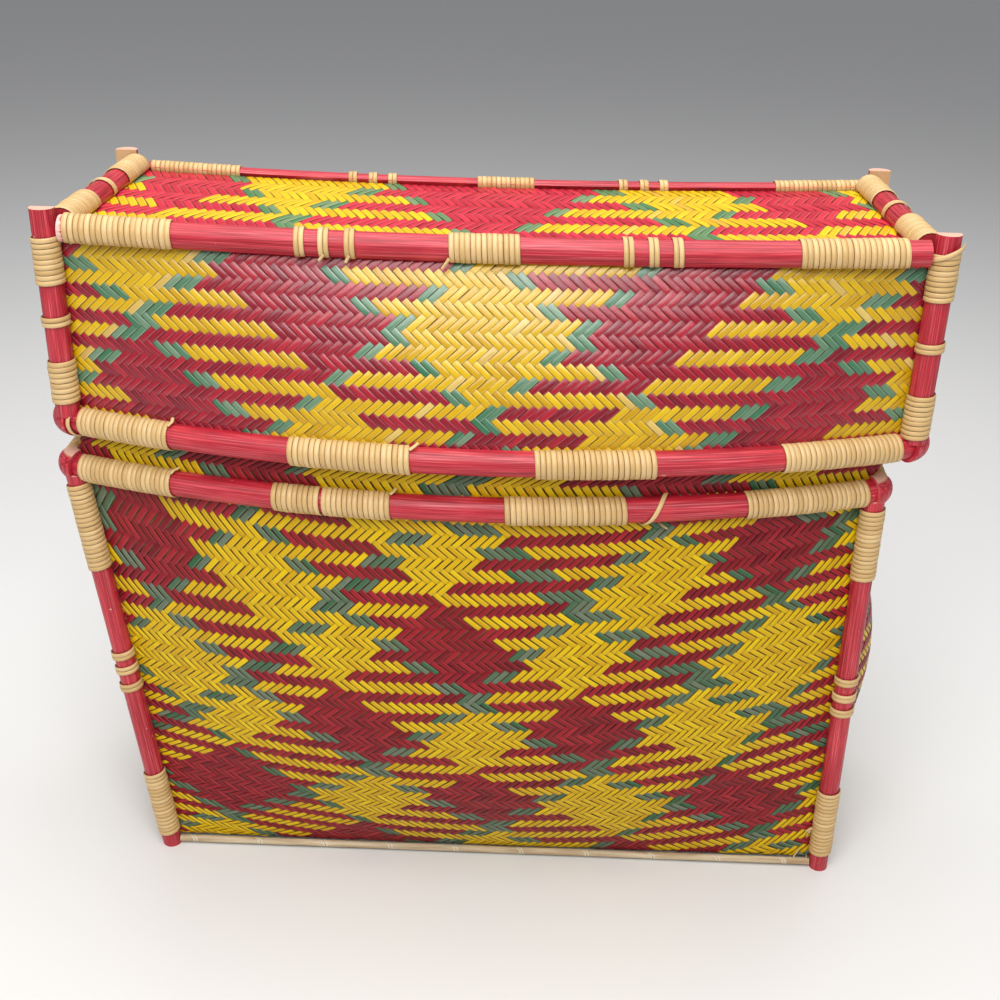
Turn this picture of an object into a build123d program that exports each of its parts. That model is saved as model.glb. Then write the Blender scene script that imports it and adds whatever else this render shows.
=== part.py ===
from build123d import *
import math
import os
from collections import namedtuple

os.makedirs("parts", exist_ok=True)

# Split poles: round outside, flat against the woven wall
rail_radius = 6.1
lid_post_radius = 5.7
body_post_radius = 5.2
pole_flat = 1.5
rail_gap = 0.4
post_gap = 1.0
end_gap = 0.3

# Cane bindings, and the thinned pole ends that hook round the rim hoops
binding_thickness = 1.0
binding_fit = 0.05
band_width = 5.0
hook_thickness = 1.8
hook_fit = 0.2
hook_share = 0.8
hook_overlap_share = 0.5

# Plaited walls: a ridge is one row of strips each way
wall = 2.0
corner_radius = 6.0
ridge_pitch = 13.6
ridge_depth = 0.5

# Heights, from the floor up
base_lift = 4.5
body_height = 236.0
rim_spacing = 26.0
lid_height = 93.0
post_rise = 9.0
lid_hem = 4.0
hoop_cover = 7.0

# Plan of the lid: width and depth across the corners, and bulge of the sides
lid_width = 400.0
lid_depth = 126.0
lid_rim_bow = 33.5
lid_top_bow = 1.0
lid_side_bow = 2.0
lid_top_sag = 4.3
lid_flare_power = 1.7

# Plan of the basket: how far its rim stands in from the lid and its base from the rim, and its lean
rim_inset_width = 5.5
rim_inset_depth = 3.0
base_inset_width = 11.0
base_inset_depth = 5.0
lean = 7.25
base_bow = 0.8
rim_bow = 31.8
side_bow = 1.5
belly_front = 6.0
belly_side = 23.0
foot_swell_power = 4

# Neck inside the lid
neck_play = 1.2
neck_headroom = 2.0

# Top rails: tilt of their round faces, lie of the back one on its wall, and place of the side ones
front_rail_tilt = 45.0
back_rail_tilt = 32.0
back_rail_slide = 4.0
back_rail_gap = 0.85
side_rail_inset = 5.5
side_rail_front_gap = 4.3
side_rail_back_gap = 0.7

# Base rods
rod_radius = 1.9
rod_height = 3.2
rod_gap = 0.6

# Room that cuts run past what they cut
overrun = 12.0

# Places of the full wraps, as shares of each pole's length, and of the narrow bands between them
top_front_wrap_shares = ((0.0, 0.13), (0.447, 0.53), (0.852, 0.977))
top_back_wrap_shares = ((0.0, 0.123), (0.453, 0.532), (0.867, 1.0))
top_band_shares = (0.275, 0.304, 0.334, 0.654, 0.684, 0.711)
top_side_wrap_shares = ((0.0, 0.3), (0.7, 1.0))
top_side_band_shares = (0.5,)
lid_rim_wrap_shares = ((0.013, 0.116), (0.259, 0.406), (0.557, 0.704), (0.859, 0.987))
body_rim_wrap_shares = ((0.013, 0.121), (0.248, 0.395), (0.539, 0.692), (0.842, 0.987))
rim_side_wrap_shares = ((0.05, 0.35), (0.65, 0.95))
lid_post_wrap_shares = ((0.098, 0.259), (0.634, 0.843))
lid_post_band_shares = (0.457,)
body_post_wrap_shares = ((0.042, 0.227), (0.795, 0.955))
body_post_band_shares = (0.482, 0.532, 0.573)

# Sizes that follow from those above
rim_width = lid_width - 2 * rim_inset_width
rim_depth = lid_depth - 2 * rim_inset_depth
base_width = rim_width - 2 * base_inset_width
base_depth = rim_depth - 2 * base_inset_depth
lid_rim_z = body_height + rim_spacing
top_rail_z = lid_rim_z + lid_height
post_top_z = top_rail_z + post_rise
hoop_offset = rail_gap + pole_flat
post_offset = post_gap + pole_flat
edge_offset = hoop_offset * math.sin(math.radians(front_rail_tilt))
lid_edge_z = top_rail_z - edge_offset
lid_low_z = lid_rim_z - lid_hem
neck_low_z = body_height + hoop_cover
lid_post_low_z = lid_rim_z + rail_radius * hook_overlap_share
body_post_high_z = body_height - rail_radius * hook_overlap_share
neck_top_z = lid_edge_z - lid_top_sag - ridge_depth - wall - neck_headroom
sag_radius = ((lid_width / 2) ** 2 + lid_top_sag ** 2) / (2 * lid_top_sag)
sag_centre_z = lid_edge_z - lid_top_sag + sag_radius
binding_reach = binding_fit + binding_thickness
top_rail_half = lid_width / 2 - lid_post_radius - binding_reach - end_gap
side_rail_back = lid_depth / 2 - side_rail_back_gap
side_rail_front = side_rail_front_gap - lid_depth / 2
side_rail_length = side_rail_back - side_rail_front
side_rail_z = lid_edge_z + hoop_offset

Plan = namedtuple("Plan", "middle half_x half_y bow_front bow_side")
Arc = namedtuple("Arc", "x y radius start sweep")
up = (0, 0, 1)
left_right = {"left": -1, "right": 1}
front_back = {"front": -1, "back": 1}
top_rail_lie = {-1: (front_rail_tilt, 0, rail_gap), 1: (back_rail_tilt, back_rail_slide, back_rail_gap)}


def between(low, high, share):
    return low + (high - low) * share


def body_corner(z):
    """Middle, half width and half depth of the basket at a height: the line of its corners."""
    share = (z - base_lift) / (body_height - base_lift)
    return (
        between(lean, -lean, share),
        between(base_width, rim_width, share) / 2,
        between(base_depth, rim_depth, share) / 2,
    )


def body_plan(z):
    """Outline of the basket at a height, bulged between its corners, and of the neck above it."""
    level = min(z, body_height)
    share = (level - base_lift) / (body_height - base_lift)
    swell = math.sin(math.pi * share) ** 2
    rise = 1 - (1 - share) ** foot_swell_power
    bow_front = base_bow + rim_bow * rise + belly_front * swell
    plan = Plan(*body_corner(level), bow_front, side_bow + belly_side * swell)
    if z <= neck_low_z:
        return plan
    fitted = lid_plan(z)
    inset = wall + neck_play
    neck = Plan(0, fitted.half_x - inset, fitted.half_y - inset, fitted.bow_front, side_bow)
    blend = min((z - neck_low_z) / (lid_low_z - neck_low_z), 1)
    return Plan(*(between(a, b, blend) for a, b in zip(plan, neck)))


def lid_plan(z):
    """Outline of the lid at a height: straight at its top, bowed at its rim."""
    share = min(max((z - lid_rim_z) / (lid_edge_z - lid_top_sag - lid_rim_z), 0), 1)
    bow_front = lid_top_bow + lid_rim_bow * (1 - share ** lid_flare_power)
    return Plan(0, lid_width / 2, lid_depth / 2, bow_front, lid_side_bow)


def plan_arcs(plan, grow):
    """Arcs of an outline, counter-clockwise from the front: each bowed side and then its corner."""
    reach_x = plan.half_x - corner_radius
    reach_y = plan.half_y - corner_radius
    chords = (reach_x, reach_y) * 2
    reaches = (reach_y, reach_x) * 2
    bows = (plan.bow_front, plan.bow_side) * 2
    radii = [(chord**2 + bow**2) / (2 * bow) for chord, bow in zip(chords, bows)]
    halves = [math.degrees(math.asin(chord / radius)) for chord, radius in zip(chords, radii)]
    arcs = []
    for side in range(4):
        facing = 90 * side - 90
        out_x = math.cos(math.radians(facing))
        out_y = math.sin(math.radians(facing))
        back = reaches[side] + bows[side] - radii[side]
        radius = radii[side] + corner_radius + grow
        arcs.append(Arc(
            plan.middle + out_x * back, out_y * back, radius, facing - halves[side], 2 * halves[side]))
        corner_x = plan.middle + out_x * reaches[side] - out_y * chords[side]
        corner_y = out_y * reaches[side] + out_x * chords[side]
        arcs.append(Arc(
            corner_x, corner_y, corner_radius + grow, facing + halves[side],
            90 - halves[side] - halves[(side + 1) % 4]))
    return arcs


def outline(z, plan, grow):
    """Face inside an outline at a height."""
    with BuildSketch(Plane.XY.offset(z)) as face:
        with BuildLine():
            for arc in plan_arcs(plan, grow):
                CenterArc((arc.x, arc.y), arc.radius, arc.start, arc.sweep)
        make_face()
    return face.sketch


def ridge_levels(low, high):
    """Heights of the grooves and crests of a wall, with the depth of each below the crest."""
    count = max(1, round((high - low) / ridge_pitch))
    step = (high - low) / count / 2
    return [(low + k * step, ridge_depth * ((k + 1) % 2)) for k in range(2 * count + 1)]


def hollow_levels(low, high):
    """Heights of the sections of a smooth hollow."""
    count = max(2, round((high - low) / (2 * ridge_pitch)))
    return [between(low, high, k / count) for k in range(count + 1)]


def swing(radius):
    """Half of the angle that the round face of a split pole takes up."""
    return math.degrees(math.acos(-pole_flat / radius))


def pole_section(plane, radius, facing=0):
    """Section of a split pole, its round face turned to facing."""
    with BuildSketch(plane) as section:
        with BuildLine():
            face = CenterArc((0, 0), radius, facing - swing(radius), 2 * swing(radius))
            Line(face @ 1, face @ 0)
        make_face()
    return section.sketch


def sleeve_section(plane, inner, outer, facing=0):
    """Section of what wraps the round face of a split pole, open at the flat."""
    with BuildSketch(plane) as section:
        with BuildLine():
            outside = CenterArc((0, 0), outer, facing - swing(outer), 2 * swing(outer))
            inside = CenterArc((0, 0), inner, facing - swing(inner), 2 * swing(inner))
            Line(outside @ 0, inside @ 0)
            Line(outside @ 1, inside @ 1)
        make_face()
    return section.sketch


def round_section(plane, radius):
    """Section of a round pole."""
    with BuildSketch(plane) as section:
        Circle(radius)
    return section.sketch


def hoop_plane(arc, z, angle):
    """Plane across a hoop at an angle of one of its arcs, X outwards and Y up."""
    out_x = math.cos(math.radians(angle))
    out_y = math.sin(math.radians(angle))
    origin = (arc.x + arc.radius * out_x, arc.y + arc.radius * out_y, z)
    return Plane(origin=origin, x_dir=(out_x, out_y, 0), z_dir=(out_y, -out_x, 0))


def turn_on_hoop(arc, z, start, sweep, section, *sizes):
    """Sweep a section along part of a hoop, in the part that is open."""
    profile = section(hoop_plane(arc, z, start), *sizes)
    revolve(profile, Axis((arc.x, arc.y, 0), up), sweep)


def whole_hoop(plan, z, section, *sizes):
    """Sweep a section all round a rim."""
    for arc in plan_arcs(plan, hoop_offset):
        turn_on_hoop(arc, z, arc.start, arc.sweep, section, *sizes)


def bands(shares, length):
    """Ends of narrow bands about their places, as shares of a length."""
    half_share = band_width / length / 2
    return tuple((share - half_share, share + half_share) for share in shares)


def hoop_bindings(plan, z, side, shares):
    """Wraps on one side of a rim hoop."""
    arc = plan_arcs(plan, hoop_offset)[2 * side]
    for first, last in shares:
        turn_on_hoop(
            arc, z, arc.start + arc.sweep * first, arc.sweep * (last - first), sleeve_section,
            rail_radius + binding_fit, rail_radius + binding_reach)


def sag_plane(angle, y=0, height=0):
    """Plane across the sagging top at an angle from its middle, X to the back and Y up."""
    across = math.sin(math.radians(angle))
    along = math.cos(math.radians(angle))
    reach = sag_radius - height
    origin = (across * reach, y, sag_centre_z - along * reach)
    return Plane(origin=origin, x_dir=(0, 1, 0), z_dir=(along, 0, across))


def turn_on_sag(profile, sweep, mode=Mode.ADD):
    """Sweep a profile along the sag of the top, from left to right."""
    revolve(profile, Axis((0, 0, sag_centre_z), (0, -1, 0)), sweep, mode=mode)


def cut_above_sag(drop, depth):
    """Cut away what lies above the sagging top, lowered by drop, leaving ridges of a depth."""
    angle = math.degrees(math.asin((lid_width / 2 + lid_side_bow + overrun) / sag_radius))
    half = lid_depth / 2 + lid_top_bow + overrun
    count = max(1, round(half / ridge_pitch)) if depth else 1
    step = half / count / 2
    ridges = [(k * step, -drop - depth * (k % 2)) for k in range(-2 * count, 2 * count + 1)]
    with BuildSketch(sag_plane(-angle)) as profile:
        with BuildLine():
            Polyline(*ridges, (half, lid_height), (-half, lid_height), close=True)
        make_face()
    turn_on_sag(profile.sketch, 2 * angle, mode=Mode.SUBTRACT)


def turn_top_rail(facing_y, first, last, section, *sizes):
    """Sweep a section along part of a front or back top rail."""
    angle = math.degrees(math.asin(top_rail_half / sag_radius))
    start = between(-angle, angle, first)
    tilt, slide, gap = top_rail_lie[facing_y]
    offset = gap + pole_flat
    level = math.cos(math.radians(tilt))
    rise = math.sin(math.radians(tilt))
    y = facing_y * (lid_depth / 2 + lid_top_bow + offset * level + slide * rise)
    height = offset * rise - slide * level
    profile = section(sag_plane(start, y, height), *sizes, 90 - (90 - tilt) * facing_y)
    turn_on_sag(profile, 2 * angle * (last - first))


def run_side_rail(facing_x, first, last, section, *sizes):
    """Run a section along part of a left or right top rail, from the back to the front, flat side down."""
    x = facing_x * (lid_width / 2 - side_rail_inset)
    start = between(side_rail_back, side_rail_front, first)
    plane = Plane(origin=(x, start, side_rail_z), x_dir=(1, 0, 0), z_dir=(0, -1, 0))
    extrude(section(plane, *sizes, 90), amount=side_rail_length * (last - first))


def lid_post_place(facing_x, facing_y, z):
    """Centre of a lid post at a height."""
    return facing_x * lid_width / 2, facing_y * (lid_depth / 2 + post_offset), z


def body_post_place(facing_x, facing_y, z):
    """Centre of a basket post at a height, on the line of its corner."""
    middle, half_x, half_y = body_corner(z)
    return middle + facing_x * half_x, facing_y * (half_y + post_offset), z


def run_post(place, facing_x, facing_y, low, high, section, *sizes):
    """Run a section up part of a corner post."""
    planes = [Plane(place(facing_x, facing_y, z)) for z in (low, high)]
    loft([section(plane, *sizes, 90 * facing_y) for plane in planes])


def post_bindings(place, facing_x, facing_y, radius, low, high, shares):
    """Wraps on a corner post."""
    for first, last in shares:
        run_post(
            place, facing_x, facing_y, between(low, high, first), between(low, high, last),
            sleeve_section, radius + binding_fit, radius + binding_reach)


def corner_arc(plan, facing_x, facing_y):
    """Arc of a rim hoop round one corner."""
    order = {(1, -1): 1, (1, 1): 3, (-1, 1): 5, (-1, -1): 7}
    return plan_arcs(plan, hoop_offset)[order[facing_x, facing_y]]


def hook_on_hoop(plan, z, facing_x, facing_y, room):
    """Thinned end of a post, bent round a rim hoop at its corner."""
    add(room, mode=Mode.SUBTRACT)
    arc = corner_arc(plan, facing_x, facing_y)
    start = arc.start + arc.sweep * (1 - hook_share) / 2
    inner = rail_radius + hook_fit
    turn_on_hoop(arc, z, start, arc.sweep * hook_share, sleeve_section, inner, inner + hook_thickness)


def export(piece, name):
    piece.part.label = name
    export_step(piece.part, f"parts/{name}.step")


# Plans of the two rims
body_rim = body_plan(body_height)
lid_rim = lid_plan(lid_rim_z)

# Woven lid: four walls and the sagging top
with BuildPart() as lid_hollow:
    levels = [lid_low_z - overrun, *hollow_levels(lid_rim_z, lid_edge_z), lid_edge_z + overrun]
    loft([outline(z, lid_plan(z), -wall) for z in levels], ruled=True)
    cut_above_sag(ridge_depth + wall, 0)

with BuildPart() as lid_weave:
    ridges = [*ridge_levels(lid_low_z, lid_edge_z), (lid_edge_z + overrun, 0)]
    loft([outline(z, lid_plan(z), -depth) for z, depth in ridges], ruled=True)
    cut_above_sag(0, ridge_depth)
    add(lid_hollow.part, mode=Mode.SUBTRACT)
export(lid_weave, "lid_weave")

# Woven basket: base, four walls and the neck
with BuildPart() as body_hollow:
    levels = hollow_levels(base_lift + wall, neck_low_z) + hollow_levels(lid_low_z, neck_top_z)
    levels.append(neck_top_z + overrun)
    loft([outline(z, body_plan(z), -wall) for z in levels], ruled=True)

with BuildPart() as body_weave:
    ridges = ridge_levels(base_lift, neck_low_z) + ridge_levels(lid_low_z, neck_top_z)
    loft([outline(z, body_plan(z), -depth) for z, depth in ridges], ruled=True)
    add(body_hollow.part, mode=Mode.SUBTRACT)
export(body_weave, "body_weave")

# Rim hoops, and the room that the hooked post ends leave for them
with BuildPart() as lid_rim_hoop:
    whole_hoop(lid_rim, lid_rim_z, pole_section, rail_radius)
export(lid_rim_hoop, "lid_rim_hoop")

with BuildPart() as body_rim_hoop:
    whole_hoop(body_rim, body_height, pole_section, rail_radius)
export(body_rim_hoop, "body_rim_hoop")

with BuildPart() as lid_hoop_room:
    whole_hoop(lid_rim, lid_rim_z, round_section, rail_radius + hook_fit)

with BuildPart() as body_hoop_room:
    whole_hoop(body_rim, body_height, round_section, rail_radius + hook_fit)

# Corner posts and their bindings
lid_post_shares = lid_post_wrap_shares + bands(lid_post_band_shares, post_top_z - lid_rim_z)
body_post_shares = body_post_wrap_shares + bands(body_post_band_shares, body_height)
for end, facing_y in front_back.items():
    for hand, facing_x in left_right.items():
        corner = (facing_x, facing_y)

        with BuildPart() as lid_post:
            run_post(lid_post_place, *corner, lid_post_low_z, post_top_z, pole_section, lid_post_radius)
            hook_on_hoop(lid_rim, lid_rim_z, *corner, lid_hoop_room.part)
        export(lid_post, f"lid_post_{end}_{hand}")

        with BuildPart() as lid_post_binding:
            post_bindings(
                lid_post_place, *corner, lid_post_radius, lid_rim_z, post_top_z, lid_post_shares)
        export(lid_post_binding, f"lid_post_binding_{end}_{hand}")

        with BuildPart() as body_post:
            run_post(body_post_place, *corner, 0, body_post_high_z, pole_section, body_post_radius)
            hook_on_hoop(body_rim, body_height, *corner, body_hoop_room.part)
        export(body_post, f"body_post_{end}_{hand}")

        with BuildPart() as body_post_binding:
            post_bindings(body_post_place, *corner, body_post_radius, 0, body_height, body_post_shares)
        export(body_post_binding, f"body_post_binding_{end}_{hand}")

# Front and back: top rails, base rods and bindings
top_wrap_shares = {"front": top_front_wrap_shares, "back": top_back_wrap_shares}
for end, facing_y in front_back.items():
    with BuildPart() as top_rail:
        turn_top_rail(facing_y, 0, 1, pole_section, rail_radius)
    export(top_rail, f"lid_top_rail_{end}")

    with BuildPart() as top_binding:
        for first, last in top_wrap_shares[end] + bands(top_band_shares, 2 * top_rail_half):
            turn_top_rail(
                facing_y, first, last, sleeve_section,
                rail_radius + binding_fit, rail_radius + binding_reach)
    export(top_binding, f"lid_top_binding_{end}")

    with BuildPart() as base_rod:
        rod_half = base_width / 2 - body_post_radius - end_gap
        rod_y = facing_y * (base_depth / 2 + base_bow + rod_gap + rod_radius)
        with BuildSketch(Plane.YZ.offset(lean - rod_half)):
            with Locations((rod_y, rod_height)):
                Circle(rod_radius)
        extrude(amount=2 * rod_half)
    export(base_rod, f"base_rod_{end}")

# Left and right: top rails, base rods and bindings
for hand, facing_x in left_right.items():
    with BuildPart() as top_rail:
        run_side_rail(facing_x, 0, 1, pole_section, rail_radius)
    export(top_rail, f"lid_top_rail_{hand}")

    with BuildPart() as top_binding:
        for first, last in top_side_wrap_shares + bands(top_side_band_shares, side_rail_length):
            run_side_rail(
                facing_x, first, last, sleeve_section,
                rail_radius + binding_fit, rail_radius + binding_reach)
    export(top_binding, f"lid_top_binding_{hand}")

    with BuildPart() as base_rod:
        rod_half = base_depth / 2 + post_gap - end_gap
        rod_x = lean + facing_x * (base_width / 2 + side_bow + rod_gap + rod_radius)
        with BuildSketch(Plane.XZ.offset(-rod_half)):
            with Locations((rod_x, rod_height)):
                Circle(rod_radius)
        extrude(amount=2 * rod_half)
    export(base_rod, f"base_rod_{hand}")

# Bindings of the rim hoops, side by side
for side, name in enumerate(("front", "right", "back", "left")):
    across = name in left_right

    with BuildPart() as lid_rim_binding:
        hoop_bindings(
            lid_rim, lid_rim_z, side, rim_side_wrap_shares if across else lid_rim_wrap_shares)
    export(lid_rim_binding, f"lid_rim_binding_{name}")

    with BuildPart() as body_rim_binding:
        hoop_bindings(
            body_rim, body_height, side, rim_side_wrap_shares if across else body_rim_wrap_shares)
    export(body_rim_binding, f"body_rim_binding_{name}")
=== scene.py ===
import math

import bpy
import numpy as np
from mathutils import Matrix


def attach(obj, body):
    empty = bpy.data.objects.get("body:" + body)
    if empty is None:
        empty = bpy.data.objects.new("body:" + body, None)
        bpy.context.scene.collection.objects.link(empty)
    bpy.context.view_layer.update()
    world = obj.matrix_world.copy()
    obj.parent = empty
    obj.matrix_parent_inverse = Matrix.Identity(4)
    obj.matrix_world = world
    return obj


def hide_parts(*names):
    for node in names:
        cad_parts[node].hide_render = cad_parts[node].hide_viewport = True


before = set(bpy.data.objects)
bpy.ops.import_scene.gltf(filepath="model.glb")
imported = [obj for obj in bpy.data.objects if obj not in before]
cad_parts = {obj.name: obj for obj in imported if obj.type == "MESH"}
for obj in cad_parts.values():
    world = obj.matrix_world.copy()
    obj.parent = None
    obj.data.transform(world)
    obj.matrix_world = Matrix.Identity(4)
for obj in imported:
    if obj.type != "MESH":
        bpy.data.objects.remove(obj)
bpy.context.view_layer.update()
SEED = 20
chance = np.random.default_rng(SEED)

# All sizes in this script are millimetres, and meshes are scaled to metres when they are made
METRE = 0.001

# The part's own sizes
WALL = 2.0
CORNER = 6.0
BASE_LIFT = 4.5
BODY_HEIGHT = 236.0
NECK_LOW = 243.0
NECK_TOP = 344.86
LID_LOW = 258.0
LID_RIM = 262.0
TOP_RAIL = 355.0
POST_TOP = 364.0
LID_WIDTH = 400.0
LID_DEPTH = 126.0
LID_RIM_BOW = 33.5
LID_TOP_BOW = 1.0
LID_SIDE_BOW = 2.0
LID_SAG = 4.3
FLARE = 1.7
RIM_WIDTH = 389.0
RIM_DEPTH = 120.0
BASE_WIDTH = 367.0
BASE_DEPTH = 110.0
LEAN = 7.25
BASE_BOW = 0.8
RIM_BOW = 31.8
RIM_BOW_POWER = 4
SIDE_BOW = 1.5
BELLY_FRONT = 6.0
BELLY_SIDE = 23.0
NECK_INSET = 3.2
RAIL_RADIUS = 6.1
LID_POST_RADIUS = 5.7
BODY_POST_RADIUS = 5.2
POLE_FLAT = 1.5
HOOP_OFFSET = 1.9
POST_OFFSET = 2.5
FRONT_RAIL_LIE = (math.radians(45), 0.0, HOOP_OFFSET)
BACK_RAIL_LIE = (math.radians(32), 4.0, 2.35)
TOP_RAIL_HALF = 192.95
SIDE_RAIL_X = 194.5
SIDE_RAIL_BACK = 62.3
SIDE_RAIL_FRONT = -58.7
EDGE = HOOP_OFFSET * math.sin(math.pi / 4)
LID_EDGE = TOP_RAIL - EDGE
SAG_RADIUS = ((LID_WIDTH / 2) ** 2 + LID_SAG ** 2) / (2 * LID_SAG)
SAG_CENTRE = LID_EDGE - LID_SAG + SAG_RADIUS

# Plaiting: strips lie on a slant both ways, over three and under three
FRONT, RIGHT, BACK, LEFT = range(4)
SPAN = 3
TURN = 2 * SPAN
STRIP_NUMBERS = np.arange(-110, 130)
LID_STRIP = 0.95
BODY_STRIP = 0.84
TUCK = 0.3
LIFT = 0.62
SEAT = 0.06
LID_EDGE_DROP = 0.26
BODY_EDGE_DROP = 0.4
FINE_GRID = (np.array([-1, -0.8, -0.4, 0.4, 0.8, 1]), np.array([-1, -0.62, 0.62, 1]))
INNER_GRID = (np.array([-1, -0.6, 0.6, 1]), np.array([-1, 0, 1]))
INNER_LIFT = 0.24
INNER_DROP = 0.14
PAST_CORNER = 4.0
PAST_EDGE = 2
TOP_OVERHANG = 1.0
UNDER_TOP = 0.6
LEAST_AREA = 0.02

# How much the floats differ in width, place, lift and tone, how much painted shade their sides take, and
# how their grain runs
WIDTH_LEAST, WIDTH_BY_STRIP, WIDTH_BY_FLOAT = 0.96, 0.06, 0.03
SHIFT_BY_STRIP, SHIFT_BY_FLOAT = 0.05, 0.04
LIFT_LEAST, LIFT_BY_FLOAT = 0.88, 0.24
TONE_BY_STRIP, TONE_BY_FLOAT = 0.55, 0.45
DROP_AT_ENDS, DROP_IN_MIDDLE = 0.25, 0.75
SIDE_SHADE = 0.8
GRAIN_LENGTH, GRAIN_APART, GRAIN_BY_STRIP = 3, 40, 0.37

# Lattices of the strips' crossings: the run and level of the first, and the way to the next
LID_MIDDLE, LID_LEVEL = -2.65, 316.4
LID_STEP, LID_RISE = 2.31, 2.013
TOP_RISE, TOP_FIRST = 5.2, 17.7
EVEN_LATTICE = (-66.0, 2.3, 131.0, 2.05)
NECK_LATTICE = (-72.33, 2.216, 145.1, 2.073)

# Lattice of the basket's front, whose rows sag and tilt: each by its top, middle and foot
FRONT_FIRST = 2.836
FRONT_MIDDLE, FRONT_LEVEL, FRONT_RISE = -66.048, 131.248, 2.073
FRONT_STEP, FRONT_STEP_LOSS = 2.46, 0.244
FRONT_HALF = 190
FRONT_SAG = (21.243, 6.134, 38.526)
FRONT_TILT = (-2.585, 14.233, -4.225)
FRONT_SHARES = (-0.1, 1.1)
FRONT_ROUNDS = 8
FRONT_PHASE = 1

# Heights between which the walls are plaited, and the levels of their hollows
LID_SPAN = (LID_LOW + 1, LID_EDGE - 1)
BODY_SPAN = (BASE_LIFT + 0.3, BODY_HEIGHT + 3)
NECK_SPAN = (BODY_HEIGHT + 3, NECK_TOP - 0.1)
INSIDE_SPAN = (BASE_LIFT + WALL + 1, NECK_TOP - 0.1)
LID_HOLLOW = np.linspace(LID_RIM, LID_EDGE, 4)
BODY_HOLLOW = np.concatenate([
    np.linspace(BASE_LIFT + WALL, NECK_LOW, 10),
    np.linspace(LID_LOW, NECK_TOP, 4),
])

# Bands of dyed strips, counted along the wall: the letter is the dye, the number the strips
LID_BANDS = (-58, "Y12 R10 G3 Y12 R11 G2 Y16 G2 R22 G3 Y12 R11 G2")
BODY_BACKSLASH_BANDS = (-60, "Y11 G3 R18 G2 Y13 G3 R10 Y11 G3 R10 Y11 G5 Y16 G2 R12 G3 Y11 R10")
BODY_SLASH_BANDS = (-52, "Y8 G3 R12 G2 Y15 G4 Y8 R15 G3 Y10 R12 G3 Y15 G2 R16 G3 Y11 R10")
DYE_LETTERS = "YRGT"
TAN_AFTER_GREEN = 0.2
TAN_AT_RANDOM = 0.025

# Dyes in the order of their letters: light and dark tone, and the pale line along a cut edge
LID_DYES = {
    "lid_yellow": ((220, 180, 6), (190, 144, 0), (240, 218, 104)),
    "lid_red": ((172, 26, 44), (120, 10, 30), (206, 96, 110)),
    "lid_green": ((116, 142, 114), (48, 108, 74), (174, 198, 170)),
    "lid_tan": ((220, 192, 108), (196, 156, 70), (242, 226, 164)),
}
# Lighter copies of the lid's dyes for the lid's top: painted light from above
LIT_TOP_DYES = {
    "top_yellow_lit": ((238, 198, 6), (214, 164, 0), (246, 222, 90)),
    "top_red_lit": ((214, 46, 64), (176, 22, 44), (228, 112, 118)),
    "top_green_lit": ((128, 148, 104), (70, 120, 72), (178, 196, 160)),
    "top_tan_lit": ((230, 190, 70), (208, 160, 40), (244, 222, 130)),
}
BODY_DYES = {
    "body_yellow": ((226, 190, 4), (198, 152, 0), (240, 216, 90)),
    "body_red": ((166, 30, 42), (112, 10, 24), (190, 84, 84)),
    "body_green": ((110, 120, 100), (46, 92, 58), (150, 162, 136)),
}

# Gloss: roughness and specular level
LID_GLOSS = (0.26, 0.62)
BODY_GLOSS = (0.38, 0.22)
SMOOTHER, ROUGHER = 0.08, 0.14
CANE_ROUGHNESS = (0.3, 0.8, 0.34, 0.55)
LACQUER_ROUGHNESS = (0.3, 0.7, 0.34, 0.52)
ROD_ROUGHNESS = 0.5
INSIDE_ROUGHNESS = 0.6

# Noise: how it is drawn out, and its scale
EVEN = (1, 1, 1)
STRIP_STREAK = ((0.12, 2.2, 7.0), 1.6)
STRIP_STAIN = ((0.25, 0.35, 3.0), 1.0)
CANE_STREAK = ((0.05, 2.0, 1.0), 1.5)
CANE_STAIN = ((0.06, 0.2, 1.0), 1.0)
ROD_GRAIN = ((3, 40, 40), 12.0, 4.0)
BLOTCH = (EVEN, 38.0)
FLECK = (EVEN, 420.0, 1.0)
STRIP_ENDS = (EVEN, 160.0, 1.0)
POLE_NOISE = (EVEN, 1.0, 4.0)
POLE_GRAIN = (5.5, 9.0)
POLE_FINE = (16.0, 30.0)

# Ranges of a noise or attribute, and what they are stretched to
TONE_RANGE = (0.1, 0.9)
STREAK_SHARE = (0.42, 0.75, 0, 0.45)
STAIN_SHARE = (0.55, 0.8, 0, 0.35)
STREAK_RANGE = (0.3, 0.8)
CUT_STARTS, CUT_ENDS, CUT_SHARE = (0.55, 0.75), (0.96, 0.86), 0.45
# Painted shade: how the ends and edges of the floats darken where they tuck under their neighbours
STRIP_RIM_SHADE = (0.35, 1.0, 1.0, 0.32)
# Painted shade in the lines between the turns of cane
CANE_RIM_SHADE = (0.3, 1.0, 1.0, 0.55)
CUT_END_RANGE, CUT_FACE_RANGE, UPWARD_RANGE = (0.75, 0.85), (0.9, 0.96), (0.7, 0.8)

# Tints: the colour, the range over which it comes in, and its share at both ends
CANE_DARK, CANE_LIGHT = (204, 167, 108), (224, 190, 134)
CANE_LINES = ((168, 124, 68), 0.45, 0.75, 0, 0.3)
CANE_STAINS = ((176, 132, 76), 0.58, 0.8, 0, 0.4)
LACQUER = (204, 44, 60)
LACQUER_TINT = ((156, 14, 34), 0.35, 0.68)
GROOVE_TINT = ((112, 4, 18), 0.48, 0.68, 0, 0.75)
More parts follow.
